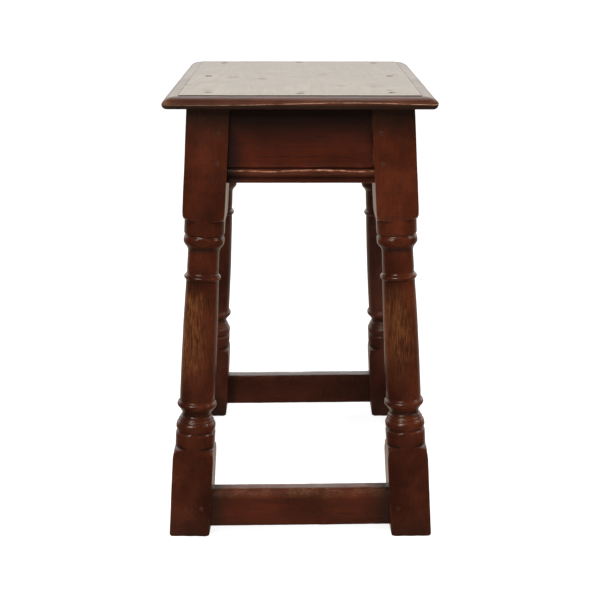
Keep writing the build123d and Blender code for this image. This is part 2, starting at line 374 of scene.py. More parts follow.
def square_off(form, seed, across, along):
    """Pares the round form down to the square stock, whose arrises are worn more in some places."""
    for vertex in form.data.vertices:
        co = vertex.co
        side_x = max(-leg_half, min(leg_half, co.x))
        side_y = max(-leg_half, min(leg_half, co.y))
        height = (co.z + across * splay[0] * side_x + along * splay[1] * side_y) / lean
        rub = 0.5 + 0.5 * lumpy(co.x * rub_across, co.y * rub_across, co.z * rub_along + seed)
        nick = lumpy(co.x * nick_across, co.y * nick_across, co.z * nick_along + seed)
        corner = arris_least + (arris_most - arris_least) * max(0, rub + nick_share * nick) ** 2
        low = max(0, 1 - max(0, height) / foot_wear_height)
        shrink = foot_wear * (1 - sqrt(max(0, 1 - low**2)))
        corner += foot_round * low**2
        past_shoulder = max(co.z / lean - shoulder_high, shoulder_low - co.z / lean)
        near_turning = max(0, 1 - past_shoulder / shoulder_reach)
        flat = leg_half - shrink - shoulder_wear * min(1, near_turning) ** 2
        core = flat - corner
        near = Vector((max(-core, min(core, co.x)), max(-core, min(core, co.y))))
        beyond = Vector((co.x, co.y)) - near
        if beyond.length > corner:
            beyond *= corner / beyond.length
        co.x, co.y = near + beyond


def saw(piece, place, normal, keep_beyond):
    """Cuts the piece along a plane, keeps the part beyond it or the other, and closes the cut."""
    select_only(piece)
    bpy.ops.object.mode_set(mode="EDIT")
    bpy.ops.mesh.select_all(action="SELECT")
    bpy.ops.mesh.bisect(
        plane_co=place,
        plane_no=normal,
        use_fill=True,
        clear_inner=keep_beyond,
        clear_outer=not keep_beyond,
    )
    bpy.ops.object.mode_set(mode="OBJECT")


def leg_axes(across, along, stray=0):
    """Which way a leg's right side and its length point, and where its foot stands."""
    right = Vector((1, 0, across * splay[0])).normalized()
    up = Vector((-across * splay[0], -along * splay[1], 1)).normalized()
    foot = Vector((across * foot_place[0] + stray, along * foot_place[1], 0))
    return right, up, foot


def stand_in_place(piece, across, along, stray, wind):
    """Leans an upright leg out both ways and stands it at its corner of the stool."""
    right, up, foot = leg_axes(across, along, stray)
    right = Matrix.Rotation(across * wind, 3, up) @ right
    back = up.cross(right)
    piece.matrix_world = Matrix.Translation(foot) @ Matrix((right, back, up)).transposed().to_4x4()
    select_only(piece)
    bpy.ops.object.transform_apply(location=True, rotation=True, scale=True)


def either(tree, one, other):
    """The larger of two shares."""
    return add(tree, "Math", operation="MAXIMUM", _0=one, _1=other).outputs[0]


def speckle(tree, place, size, detail, roughness, drawn_out=None):
    """Random light and dark spots. The smaller a number of drawn_out, the longer they run that way."""
    if drawn_out:
        place = add(tree, "Mapping", Vector=place, Scale=drawn_out).outputs[0]
    spots = add(tree, "TexNoise", Vector=place, Scale=size, Detail=detail, Roughness=roughness)
    return spots.outputs["Fac"]


def new_group(name, inputs, outputs):
    """A shader node group with its inputs, and numbers for its outputs."""
    tree = bpy.data.node_groups.new(name, "ShaderNodeTree")
    for label, kind in inputs.items():
        tree.interface.new_socket(label, in_out="INPUT", socket_type=kind)
    for label in outputs:
        tree.interface.new_socket(label, in_out="OUTPUT", socket_type="NodeSocketFloat")
    return tree, tree.nodes.new("NodeGroupInput"), tree.nodes.new("NodeGroupOutput")


ring_count, ring_fold = 11.0, 0.5


def oak_grain():
    """Fibres, open pores and growth bands of oak, its length along Z."""
    tree, into, out = new_group("oak grain", {"Vector": "NodeSocketVector"}, ("Fibres", "Pores", "Bands"))
    place = into.outputs["Vector"]
    fibres = speckle(tree, place, size=260, detail=5, roughness=0.6, drawn_out=(1, 1, 0.05))
    pores = speckle(tree, place, size=900, detail=2, roughness=0.5, drawn_out=(1, 1, 0.03))
    ripple = speckle(tree, place, size=16, detail=3, roughness=0.45, drawn_out=(1, 1, 0.10))
    rings = both(tree, ripple, ring_count)
    bands = add(tree, "Math", operation="PINGPONG", _0=rings, _1=ring_fold).outputs[0]
    tree.links.new(ramp(tree, fibres, start=0.32, full=0.68), out.inputs["Fibres"])
    tree.links.new(ramp(tree, pores, start=0.56, full=0.70), out.inputs["Pores"])
    tree.links.new(ramp(tree, bands, start=0.05, full=0.45), out.inputs["Bands"])
    return tree


def age_marks():
    """Where the arrises are rubbed, where dirt lies, and how the polish is mottled."""
    sockets = {"Vector": "NodeSocketVector", "Patch Scale": "NodeSocketFloat"}
    tree, into, out = new_group("age marks", sockets, ("Rubbed", "Dirt", "Patches"))
    place = into.outputs["Vector"]
    bend = add(tree, "NewGeometry").outputs["Pointiness"]
    uneven = speckle(tree, place, size=70, detail=4, roughness=0.6)
    patches = speckle(tree, place, size=into.outputs["Patch Scale"], detail=4, roughness=0.55)
    arris = ramp(tree, bend, start=0.51, full=0.57)
    rubbed = both(tree, arris, ramp(tree, uneven, start=0.35, full=0.6))
    tree.links.new(rubbed, out.inputs["Rubbed"])
    tree.links.new(ramp(tree, bend, start=0.495, full=0.45), out.inputs["Dirt"])
    tree.links.new(fade(tree, patches, start=0.28, full=0.72), out.inputs["Patches"])
    return tree


GRAIN = oak_grain()
MARKS = age_marks()
ALONG_X = (0, radians(90), 0)
ALONG_Y = (radians(90), 0, 0)
ALONG_Z = (0, 0, 0)
rubbed_share, dirt_share, fibre_height = 0.35, 0.85, 0.5


def oak(
    name, turn, deep, warm, worn, grime_and_shade, wear_and_light_mask=None, dark_mask=None, bare=None, bare_and_highlight_mask=None,
    polish=(0.24, 0.40), sheen=0.22, tint=(1.0, 0.90, 0.80), ridge=0.0001,
    streaks=0.3, rings=0.18, pores=0.6, patch=14,
):
    """Stained and waxed oak. turn lays the grain along Z. The masks say where the stain is rubbed
    thin and where a reflection or highlight is painted in, where the wood is bare under a painted
    highlight, and where dirt has gathered and where shade is painted."""
    material = bpy.data.materials.new(name)
    material.use_nodes = True
    tree = material.node_tree
    shader = tree.nodes["Principled BSDF"]
    place = add(tree, "TexCoord").outputs["Object"]
    along = add(tree, "Mapping", Vector=place, Rotation=turn).outputs[0]
    grain = add(tree, "Group", node_tree=GRAIN, Vector=along).outputs
    marks = add(tree, "Group", node_tree=MARKS, Vector=along, Patch_Scale=patch).outputs

    colour = blend(tree, (*deep, 1), (*warm, 1), marks["Patches"])
    colour = blend(tree, colour, (*deep, 1), both(tree, grain["Bands"], rings))
    if wear_and_light_mask:
        colour = blend(tree, colour, (*worn, 1), wear_and_light_mask(tree, place))
    colour = blend(tree, colour, (*grime_and_shade, 1), both(tree, grain["Fibres"], streaks))
    colour = blend(tree, colour, (*grime_and_shade, 1), both(tree, grain["Pores"], pores))
    colour = blend(tree, colour, (*(bare or worn), 1), both(tree, marks["Rubbed"], rubbed_share))
    colour = blend(tree, colour, (*grime_and_shade, 1), both(tree, marks["Dirt"], dirt_share))
    if bare_and_highlight_mask:
        colour = blend(tree, colour, (*bare, 1), bare_and_highlight_mask(tree, place))
    # The dark mask lays dirt, and painted shade, in the grime colour.
    if dark_mask:
        colour = blend(tree, colour, (*grime_and_shade, 1), dark_mask(tree, place))
    tree.links.new(colour, shader.inputs["Base Color"])

    rough = ramp(tree, marks["Patches"], 0, 1, *polish)
    tree.links.new(rough, shader.inputs["Roughness"])
    height = add(
        tree, "Math", operation="MULTIPLY_ADD", _0=grain["Fibres"], _1=fibre_height, _2=grain["Pores"]
    ).outputs[0]
    bump = add(tree, "Bump", Strength=1.0, Distance=ridge, Height=height)
    bump.invert = True
    tree.links.new(bump.outputs[0], shader.inputs["Normal"])
    shader.inputs["Specular IOR Level"].default_value = sheen
    shader.inputs["Specular Tint"].default_value = (*tint, 1)
    return material


def shaded_under_board(start, full, share, side_start=None, side_full=None):
    """Painted shade growing from one height to another, as under an overhang, and darker towards one end.
    """

    def mask(tree, place):
        split = add(tree, "SeparateXYZ", Vector=place).outputs
        height = fade(tree, split["Z"], start, full, high=share)
        if side_start is None:
            return height
        return either(tree, height, fade(tree, split["X"], side_start, side_full, high=share))

    return mask


leg_deep = (0.024, 0.0040, 0.0016)
leg_warm = (0.080, 0.0130, 0.0028)
leg_worn = (0.23, 0.082, 0.020)
# The grime colour also paints the shade under the board, at the bars' ends and under the board's nose.
leg_grime_and_shade = (0.012, 0.0068, 0.0042)

# How light the left and right front legs are, the back legs painted lighter to stand for the haze of
# light on them, and the front and back finish.
front_shares = {-1: 0.94, 1: 1.02}
back_lit_share = 1.10
leg_finish = {
    -1: {"polish": (0.20, 0.30), "sheen": 0.42},
    1: {"polish": (0.30, 0.42), "sheen": 0.60},
}

# Where the front columns are rubbed through: heights from foot to head, how far to the right and
# left of the middle, and for each leg how far that is moved and how thin the stain gets.
column_foot = {"start": 0.185, "full": 0.25}
column_head = {"start": 0.330, "full": 0.295}
rubbed_height = 0.26
rubbed_right, rubbed_left = 0.024, 0.016
far_side = 0.12
column_wear = {-1: (-0.002, 0.90), 1: (0.010, 0.46)}


def thin_on_column(across):
    """The stain of a front leg is rubbed through to golden wood over its column, in fine streaks and
    mostly on its left."""
    lean_to, most = column_wear[across]
    centre = across * (leg_centre[0] + splay[0] * (leg_height - rubbed_height))

    def mask(tree, place):
        split = add(tree, "SeparateXYZ", Vector=place).outputs
        column = both(tree, fade(tree, split["Z"], **column_foot), fade(tree, split["Z"], **column_head))
        side = fade(
            tree, split["X"], centre + rubbed_right + lean_to, centre - rubbed_left + lean_to, low=far_side
        )
        fine = speckle(tree, place, size=520, detail=4, roughness=0.65, drawn_out=(1, 1, 0.09))
        broad = speckle(tree, place, size=75, detail=3, roughness=0.6)
        streaks = ramp(tree, fine, start=0.36, full=0.66)
        patches = ramp(tree, broad, start=0.36, full=0.58, low=0.50)
        share = both(tree, both(tree, column, side), both(tree, streaks, patches))
        return both(tree, share, most)

    return mask


# Heights at which the painted shade under the board and the darkening at the foot start and are
# full, and their shares. Then where dirt starts, is thickest and ends in each of the two deepest
# hollows, and its share.
leg_shade_under_board = {"start": 0.486, "full": 0.540, "share": 0.75}
foot_darkening = {"start": 0.045, "full": 0.004, "high": 0.40}
dirty_hollows = [(0.3605, 0.3670, 0.3712, 0.75), (0.1530, 0.1612, 0.1675, 0.72)]


def leg_dirt_and_shade(tree, place):
    """Painted shade under the board, darker at the foot, old dirt and wax in the turning's hollows."""
    height = add(tree, "SeparateXYZ", Vector=place).outputs["Z"]
    dark = either(tree, shaded_under_board(**leg_shade_under_board)(tree, place), fade(tree, height, **foot_darkening))
    for low, middle, high, share in dirty_hollows:
        rising = fade(tree, height, low, middle, high=share)
        falling = fade(tree, height, high, middle, high=share)
        band = add(tree, "Math", operation="MINIMUM", _0=rising, _1=falling).outputs[0]
        dark = either(tree, dark, band)
    return dark


for seed, (name, (across, along, high_rise, low_rise, stray, wind)) in enumerate(LEGS.items()):
    low = outline_points(low_turning, low_rise, leg_spacing)
    high = outline_points(high_turning, high_rise, leg_spacing)
    points = block_points((-leg_spare, 0, fine_foot), fine_spacing)
    points += block_points((plain_foot, low[0][2] - shoulder_gap), leg_spacing)
    points += low + column_points(low[-1], high[0], column_spacing) + high
    points += block_points((high[-1][2] + shoulder_gap, leg_height + leg_spare), leg_spacing)
    leg = lathe("oak_leg_" + name, [(r, 0, z * lean) for r, _, z in points], lathe_steps)
    square_off(leg, seed * seed_step, across, along)
    stand_in_place(leg, across, along, stray, wind)
    saw(leg, (0, 0, 0), (0, 0, 1), keep_beyond=True)
    saw(leg, (0, 0, leg_height), (0, 0, 1), keep_beyond=False)
    handled(leg, hollow=0.0005, dent=0.00010)
    grain_turn = (radians(along * lean_degrees[1]), radians(-across * lean_degrees[0]), 0)
    share = front_shares[across] if along < 0 else back_lit_share
    deep, warm, worn = (tuple(share * part for part in colour) for colour in (leg_deep, leg_warm, leg_worn))
    rubbed_through = thin_on_column(across) if along < 0 else None
    leg.data.materials.append(
        oak(
            "leg_oak_" + name, grain_turn, deep, warm, worn, leg_grime_and_shade, rubbed_through, leg_dirt_and_shade,
            ridge=0.00006, streaks=0.3, rings=0.04, pores=0.58, **leg_finish[along],
        )
    )
    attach(leg, "root")
    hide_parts("leg_" + name)

# ---- the stretchers ------------------------------------------------------------------------------
# Four low bars of riven oak tenoned into the foot blocks. Feet have rubbed the upper outer
# arris of each one down to a polished, scuffed slope.
bar_reach, bar_step, bar_spacing = 0.24, 0.0022, 0.0040
shoulder_overlap = 0.0013
weld_gap = 1e-6
stretcher_sunk, stretcher_thick = 0.0022, 0.024
stretcher_face = leg_half - stretcher_sunk
stretcher_back = stretcher_face - stretcher_thick
stretcher_low, stretcher_high = 0.0152 * lean, 0.0606 * lean
stretcher_outline = [
    (stretcher_back + 0.0015, stretcher_low, 0),
    (stretcher_face - 0.0015, stretcher_low, 0.0004),
    (stretcher_face, stretcher_low + 0.0015, 0),
    (stretcher_face, stretcher_high - 0.0080, 0.0012),
    (stretcher_face - 0.0062, stretcher_high, 0),
    (stretcher_back + 0.0020, stretcher_high, 0.0005),
    (stretcher_back, stretcher_high - 0.0020, 0),
    (stretcher_back, stretcher_low + 0.0015, 0.0004),
    (stretcher_back + 0.0015, stretcher_low, 0),
]
BARS = {
    "end_{}_front": (True, -1),
    "end_{}_back": (True, 1),
    "side_{}_left": (False, -1),
    "side_{}_right": (False, 1),
}


def bar_axes(along_x, side):
    """Which way a bar's section faces out and up, and where the plane of its two legs meets the floor."""
    if along_x:
        up = Vector((0, -side * splay[1], 1)).normalized()
        out = Vector((0, side, splay[1])).normalized()
        foot = Vector((0, side * foot_place[1], 0))
    else:
        up = Vector((-side * splay[0], 0, 1)).normalized()
        out = Vector((side, 0, splay[0])).normalized()
        foot = Vector((side * foot_place[0], 0, 0))
    return out, up, foot


def shoulder_cut(piece, along_x, side, hand, keep_tenon):
    """Saws a bar along the face of the leg at one end."""
    across, along = (hand, side) if along_x else (side, hand)
    right, up, foot = leg_axes(across, along)
    normal = right * across if along_x else up.cross(right) * along
    saw(piece, foot - normal * (leg_half - shoulder_overlap), normal, keep_beyond=keep_tenon)


def welded_copy(node, name):
    """A copy of a piece's sawn form, its loose triangles joined up."""
    piece = frame["nodes"][node].copy()
    piece.data = frame["nodes"][node].data.copy()
    piece.name = name
    piece.parent = None
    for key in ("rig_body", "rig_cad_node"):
        del piece[key]
    bpy.context.scene.collection.objects.link(piece)
    select_only(piece)
    bpy.ops.object.mode_set(mode="EDIT")
    bpy.ops.mesh.select_all(action="SELECT")
    bpy.ops.mesh.remove_doubles(threshold=weld_gap)
    bpy.ops.object.mode_set(mode="OBJECT")
    piece.data.materials.clear()
    return piece


def drawn_bar(name, node, outline, along_x, side, worn_edge):
    """A bar run off from its section, cut to its shoulders, with the tenons of the sawn form."""
    out, up, foot = bar_axes(along_x, side)
    run = Vector((1, 0, 0)) if along_x else Vector((0, 1, 0))
    start = foot - run * bar_reach
    section = outline_points(outline, 0, bar_spacing)
    bar = draw_outline(name, [start + out * r + up * h for r, _, h in section])
    for step in range(round(2 * bar_reach / bar_step)):
        bpy.ops.mesh.extrude_edges_move(TRANSFORM_OT_translate={"value": run * bar_step})
    close_ends(weld_gap)
    for vertex in bar.data.vertices:
        offset = vertex.co - foot
        vertex.co += worn_edge(offset.dot(run), offset.dot(out), offset.dot(up), out, up)
    for hand in (-1, 1):
        shoulder_cut(bar, along_x, side, hand, keep_tenon=False)
    handled(bar, hollow=0.0006, dent=0.0003)
    for hand in (-1, 1):
        tenon = welded_copy(node, "tenon")
        shoulder_cut(tenon, along_x, side, hand, keep_tenon=True)
        tenon.select_set(True)
        bar.select_set(True)
        bpy.context.view_layer.objects.active = bar
        bpy.ops.object.join()
    return bar


# How far a bar is out of true, how far down and in from its upper arris the tread goes, and the
# broad lumps and small pits of the worn wood.
bar_deeper, bar_higher, bar_rise = -0.0016, 0.0008, 0.010
tread_down, tread_in, tread_reach, tread_depth = 0.010, 0.012, 0.16, 0.0012
lump_run, lump_seed = 24, 2.0
pit_run, pit_height, pit_share, pit_seed = 90, 60, 0.6, 4.0
dish_share, lump_share = 0.5, 0.6


def trodden(run, out, height, outward, up):
    """Feet have dished the upper outer edge, most towards the middle, and the bar isn't quite parallel."""
    share = (height - stretcher_low) / (stretcher_high - stretcher_low)
    uneven = bar_deeper * (1 - share) + bar_higher * share + bar_rise * run
    upper = max(0, 1 - (stretcher_high - height) / tread_down)
    edge = upper * max(0, 1 - (stretcher_face - out) / tread_in)
    dish = max(0, 1 - (run / tread_reach) ** 2)
    lumps = lumpy(run * lump_run, 0, lump_seed)
    lumps += pit_share * lumpy(run * pit_run, height * pit_height, pit_seed)
    worn = max(0, dish_share * dish + lump_share * lumps)
    return (outward + up) * (-tread_depth * edge * worn) + up * uneven


stretcher_deep = (0.034, 0.0078, 0.0036)
stretcher_warm = (0.068, 0.0108, 0.0030)
stretcher_worn = (0.165, 0.062, 0.027)
scuff_low, scuff_full = 0.0480, 0.0575
front_scuffs, other_scuffs = 0.85, 0.35


def scuffed(most):
    """Bare, scuffed wood along the trodden edge: fine specks in short runs."""

    def mask(tree, place):
        height = add(tree, "SeparateXYZ", Vector=place).outputs["Z"]
        edge = fade(tree, height, scuff_low, scuff_full)
        specks = speckle(tree, place, size=900, detail=3, roughness=0.7, drawn_out=(0.30, 0.30, 1))
        runs = speckle(tree, place, size=55, detail=2, roughness=0.5)
        broken = ramp(tree, specks, start=0.46, full=0.70, low=0.16)
        here = ramp(tree, runs, start=0.40, full=0.58, low=0.25)
        return both(tree, both(tree, edge, both(tree, broken, here)), most)

    return mask


# Painted shade where a bar meets its legs and a darkening along its foot: where each starts and is full,
# and the shares on the outer and inner bars; then the far and near sheen.
corner_start, corner_full = 0.084, 0.108
under_start, under_full = 0.020, 0.012
outer_shade, inner_shade = 0.75, 0.3
far_sheen, near_sheen = 0.30, 0.16


def shaded_bar_ends(share):
    """Painted shade in the corners where a bar meets its legs, and darker along its foot."""

    def mask(tree, place):
        split = add(tree, "SeparateXYZ", Vector=place).outputs
        beside = add(tree, "Math", operation="ABSOLUTE", _0=split["X"]).outputs[0]
        ends = fade(tree, beside, corner_start, corner_full, high=share)
        return either(tree, ends, fade(tree, split["Z"], under_start, under_full, high=share))

    return mask


for pattern, (along_x, side) in BARS.items():
    node = pattern.format("stretcher")
    bar = drawn_bar("oak_" + node, node, stretcher_outline, along_x, side, trodden)
    scuffs = scuffed(front_scuffs if node == "end_stretcher_front" else other_scuffs)
    # Painted shade at the bar's ends, and darker along its foot.
    dirt = shaded_bar_ends(outer_shade if side < 0 else inner_shade)
    bar.data.materials.append(
        oak(
            "oak_of_" + node, ALONG_X if along_x else ALONG_Y, stretcher_deep, stretcher_warm,
            stretcher_worn, leg_grime_and_shade, scuffs, dirt, polish=(0.24, 0.38),
            sheen=far_sheen if node == "end_stretcher_back" else near_sheen, rings=0.04, pores=0.55,
        )
    )
    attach(bar, "root")
    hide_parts(node)

# ---- the rails -----------------------------------------------------------------------------------
# Four deep rails tenoned into the upper blocks under the board, each with a groove, an ovolo, a
# step and a hollow run along its lower edge with a scratch stock.
rail_sunk, rail_thick, rail_spare = 0.003, 0.024, 0.006
rail_face = leg_half - rail_sunk
rail_back = rail_face - rail_thick
rail_low, rail_high = 0.4468, leg_height * lean + rail_spare
rail_outline = [
    (rail_back, rail_low, 0),
    (rail_face - 0.0032, rail_low, -0.0006),
    (rail_face - 0.0050, rail_low + 0.0054, 0),
    (rail_face - 0.0044, rail_low + 0.0068, 0),
    (rail_face - 0.0031, rail_low + 0.0073, 0.0016),
    (rail_face - 0.0004, rail_low + 0.0161, 0),
    (rail_face - 0.0021, rail_low + 0.0176, 0),
    (rail_face, rail_low + 0.0195, 0),
    (rail_face, rail_high, 0),
    (rail_back, rail_high, 0),
    (rail_back, rail_low, 0),
]

# Where the moulding and its crown lie above the rail's lower edge, and the slow drift, the quick
# shake and the chips of the scratch stock.
moulding_middle, moulding_reach = 0.0149, 0.008
crown_middle, crown_reach = 0.0157, 0.002
scratch_depth = 0.0007
drift_run, drift_seed = 22, 6.0
shake_run, shake_share, shake_seed = 70, 0.5, 9.0
chip_run, chip_seed = 160, 12.0


def scratched(run, out, height, outward, up):
    """The scratch stock wandered a little, and the moulding's crown is worn."""
    near = max(0, 1 - abs(height - rail_low - moulding_middle) / moulding_reach)
    wander = lumpy(run * drift_run, 0, drift_seed) + shake_share * lumpy(run * shake_run, 0, shake_seed)
    crown = max(0, 1 - abs(height - rail_low - crown_middle) / crown_reach)
    chips = max(0, lumpy(run * chip_run, 0, chip_seed))
    return up * (scratch_depth * near * wander) - outward * (scratch_depth * crown * chips)


# How far the worn line with its painted highlight wanders, and the heights between which the line
# and the warmer band under it come and go.
crown_swing = 0.0009
crown_foot, crown_head = (0.4609, 0.4618), (0.4632, 0.4624)
band_foot, band_head, band_share = (0.4535, 0.4585), (0.4634, 0.4624), 0.05


def worn_highlit_crown(tree, place):
    """The moulding's crown is rubbed, with a painted highlight, in a thin broken line above a warmer band.
    """
    height = add(tree, "SeparateXYZ", Vector=place).outputs["Z"]
    wander = speckle(tree, place, size=28, detail=2, roughness=0.5)
    swing = ramp(tree, wander, start=0.3, full=0.7, low=-crown_swing, high=crown_swing)
    height = add(tree, "Math", operation="ADD", _0=height, _1=swing).outputs[0]
    line = both(tree, ramp(tree, height, *crown_foot), ramp(tree, height, *crown_head))
    broken = speckle(tree, place, size=210, detail=3, roughness=0.6, drawn_out=(0.5, 0.5, 1))
    bright = both(tree, line, ramp(tree, broken, start=0.40, full=0.66, low=0.15))
    band = both(tree, ramp(tree, height, *band_foot, high=band_share), ramp(tree, height, *band_head))
    return either(tree, bright, band)


rail_deep = (0.032, 0.0062, 0.0026)
rail_warm = (0.063, 0.0100, 0.0032)
# Bare wood, and the painted highlight on the moulding's crown.
rail_worn_and_highlight = (0.42, 0.185, 0.105)
# The grime colour also paints the shade under the board.
rail_grime_and_shade = (0.0065, 0.0038, 0.0030)
# Painted shade under the board, and darker towards the left.
rail_shade_and_dark_end = shaded_under_board(start=0.478, full=0.526, share=0.92, side_start=-0.055, side_full=-0.084)
for pattern, (along_x, side) in BARS.items():
    node = pattern.format("rail")
    bar = drawn_bar("oak_" + node, node, rail_outline, along_x, side, scratched)
    saw(bar, (0, 0, leg_height), (0, 0, 1), keep_beyond=False)
    bar.data.materials.append(
        oak(
            "oak_of_" + node, ALONG_X if along_x else ALONG_Y, rail_deep, rail_warm, rail_worn_and_highlight, rail_grime_and_shade,
            worn_highlit_crown, rail_shade_and_dark_end, polish=(0.28, 0.40), sheen=0.09, streaks=0.2,
        )
    )
    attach(bar, "root")
    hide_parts(node)

# ---- the joint pegs --------------------------------------------------------------------------------
# Riven oak pegs, pared to flats, driven through every tenon and left a little proud.
# Their ends have taken the stain darker than the bars.
peg_deep = (0.020, 0.0058, 0.0030)
peg_warm = (0.052, 0.0140, 0.0062)
peg_worn = (0.10, 0.050, 0.030)
peg_nodes = [n for n in frame["nodes"] if n.startswith("pegs_") and n != "pegs_top_board"]
peg_oak = oak("peg_oak", ALONG_Z, peg_deep, peg_warm, peg_worn, leg_grime_and_shade, sheen=0.14)
for node in sorted(peg_nodes):
    pegs = welded_copy(node, "oak_" + node)
    apply_modifier(pegs, "BEVEL", width=0.0008, segments=3, limit_method="ANGLE")
    handled(pegs, hollow=0.0006, dent=0.0002)
    pegs.data.materials.append(peg_oak)
    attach(pegs, "root")
    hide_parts(node)

# ---- the top board -----------------------------------------------------------------------------------
# One oak board with a thumbnail moulding worked round all four edges inside a scribed quirk.
# Its face is painted pale to stand for the bright wall's reflection, and is scratched and waxed;
# its edge is worn wavy by hands.
board_low, board_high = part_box("top_board")
board_top, board_under = board_high[2], board_low[2]
field_in, field_grid = 0.0192, 0.0032
nose_drop = 0.0085
corner_rounds = {-1: 0.008, 1: 0.015}
peg_hole, peg_hole_depth = 0.0041, 0.05
board_pegs = [(0.108, 0.174), (0.108, -0.174), (-0.108, 0.174), (-0.108, -0.174)]
board_pegs += [(0, 0.1845), (0, -0.1845), (0.1185, 0), (-0.1185, 0)]

# The edge's wear: long waves, ripples, wood rubbed off by hands, and the front edge's high place.
edge_reach, edge_wave = 0.012, 0.0005
wave_across, wave_seed = 14, 3.0
ripple_across, ripple_share, ripple_seed = 45, 0.5, 8.0
hand_wear, hand_across, hand_seed = 0.0006, 22, 5.0
crest_rise, crest_at, crest_reach, crest_drop = 0.0036, 0.055, 0.10, 0.0015
nose_reach, front_reach, under_skin = 0.006, 0.02, 0.0005
least_reach = 1e-6

# The moulding and the underside as steps from the field's edge: how far inside the widest
# outline, and how far below the face.
moulding = [(0.0190, 0.0001), (0.0187, 0.0006), (0.0185, 0.0013), (0.0180, 0.0013), (0.0174, 0.0009)]
ovolo_steps = 16
ovolo_in, ovolo_drop = moulding[-1]
for step in range(1, ovolo_steps + 1):
    turn = pi / 2 * step / ovolo_steps
    moulding.append((ovolo_in * (1 - sin(turn)), ovolo_drop + (nose_drop - ovolo_drop) * (1 - cos(turn))))
moulding += [(0.0002, 0.0095), (0.0004, 0.0107), (0.0009, 0.0119), (0.0017, 0.0131), (0.0028, 0.0141)]
moulding += [(0.0042, 0.0148), (0.0060, 0.0150), (0.020, 0.0150), (0.060, 0.0150), (0.110, 0.0150)]


def extrude_edge(inset, drop):
    """Draws the open edge of the mesh out to the next step of the moulding."""
    mesh = bpy.context.object.data
    bpy.ops.object.mode_set(mode="OBJECT")
    chosen = [v.co for v in mesh.vertices if v.select]
    wide = max(co.x for co in chosen)
    deep = max(co.y for co in chosen)
    height = chosen[0].z
    bpy.ops.object.mode_set(mode="EDIT")
    bpy.ops.mesh.extrude_edges_move()
    scale = ((board_high[0] - inset) / wide, (board_high[1] - inset) / deep, 1)
    bpy.ops.transform.resize(value=scale, center_override=(0, 0, height))
    bpy.ops.transform.translate(value=(0, 0, board_top - drop - height))


half_width, half_length = board_high[0] - field_in, board_high[1] - field_in
bpy.ops.object.select_all(action="DESELECT")
bpy.ops.mesh.primitive_grid_add(
    x_subdivisions=round(2 * half_width / field_grid),
    y_subdivisions=round(2 * half_length / field_grid),
    size=2,
    location=(0, 0, board_top),
)
board = bpy.context.object
board.name = "oak_top_board"
board.scale = (half_width, half_length, 1)
bpy.ops.object.transform_apply(location=True, rotation=True, scale=True)
bpy.ops.object.mode_set(mode="EDIT")
bpy.ops.mesh.select_mode(type="EDGE")
bpy.ops.mesh.select_all(action="DESELECT")
bpy.ops.mesh.select_non_manifold()
for inset, drop in moulding:
    extrude_edge(inset, drop)
bpy.ops.mesh.edge_face_add()
bpy.ops.mesh.select_all(action="SELECT")
bpy.ops.mesh.normals_make_consistent(inside=False)
bpy.ops.object.mode_set(mode="OBJECT")

# Two marks on the mesh for the colour, each at a depth: the crest of the nose, for its wear and
# painted highlight, and the quirk.
edge_marks = {"crest": (nose_drop, 0.0001), "quirk": (0.0010, 0.0005)}
quirk_margin = 0.0001


def edge_inset(co):
    """How far inside the board's widest outline a place is."""
    return min(board_high[0] - abs(co.x), board_high[1] - abs(co.y))


for label, (drop, reach) in edge_marks.items():
    mark = board.data.attributes.new(label, "FLOAT", "POINT")
    for vertex in board.data.vertices:
        in_groove = label == "crest" or edge_inset(vertex.co) > ovolo_in + quirk_margin
        mark.data[vertex.index].value = float(in_groove and abs(board_top - vertex.co.z - drop) < reach)

for vertex in board.data.vertices:
    co = vertex.co
    corner = corner_rounds[1 if co.y > 0 else -1]
    core = Vector((board_high[0] - corner, board_high[1] - corner))
    inset = edge_inset(co)
    out = Vector((abs(co.x) - core.x, abs(co.y) - core.y))
    if out.x > 0 and out.y > 0 and inset < corner:
        scale = (corner - inset) / max(out.length, least_reach)
        co.x = (core.x + out.x * scale) * (1 if co.x > 0 else -1)
        co.y = (core.y + out.y * scale) * (1 if co.y > 0 else -1)
    near_edge = max(0, 1 - inset / edge_reach)
    wave = lumpy(co.x * wave_across, co.y * wave_across, wave_seed)
    wave += ripple_share * lumpy(co.x * ripple_across, co.y * ripple_across, ripple_seed)
    if co.z > board_under + under_skin:
        near_crest = near_edge * max(0, 1 - abs(board_top - co.z - nose_drop) / nose_reach)
        bump = crest_rise * exp(-(((co.x - crest_at) / crest_reach) ** 2)) - crest_drop
        at_front = co.y < -core.y + front_reach
        co.z += edge_wave * wave * near_edge + near_crest * (bump if at_front else -crest_drop / 2)
    rub = hand_wear * max(0, lumpy(co.x * hand_across, co.y * hand_across, hand_seed)) * near_edge
    co.x -= rub * (1 if co.x > 0 else -1)
    co.y -= rub * (1 if co.y > 0 else -1)

cutters = []
for x, y in board_pegs:
    bpy.ops.mesh.primitive_cylinder_add(
        vertices=32, radius=peg_hole, depth=peg_hole_depth, location=(x, y, board_top)
    )
    cutters.append(bpy.context.object)
bpy.ops.object.select_all(action="DESELECT")
for cutter in cutters:
    cutter.select_set(True)
bpy.context.view_layer.objects.active = cutters[0]
bpy.ops.object.join()
peg_cutter = bpy.context.object
apply_modifier(board, "BOOLEAN", object=peg_cutter, operation="DIFFERENCE", solver="EXACT")
bpy.data.objects.remove(peg_cutter)
handled(board, hollow=0.0003, dent=0.00012)

# How far inside the outline the painted reflection starts and is full, along the sides and at the ends.
side_reflection, end_reflection = (0.0030, 0.0095), (0.0158, 0.0225)


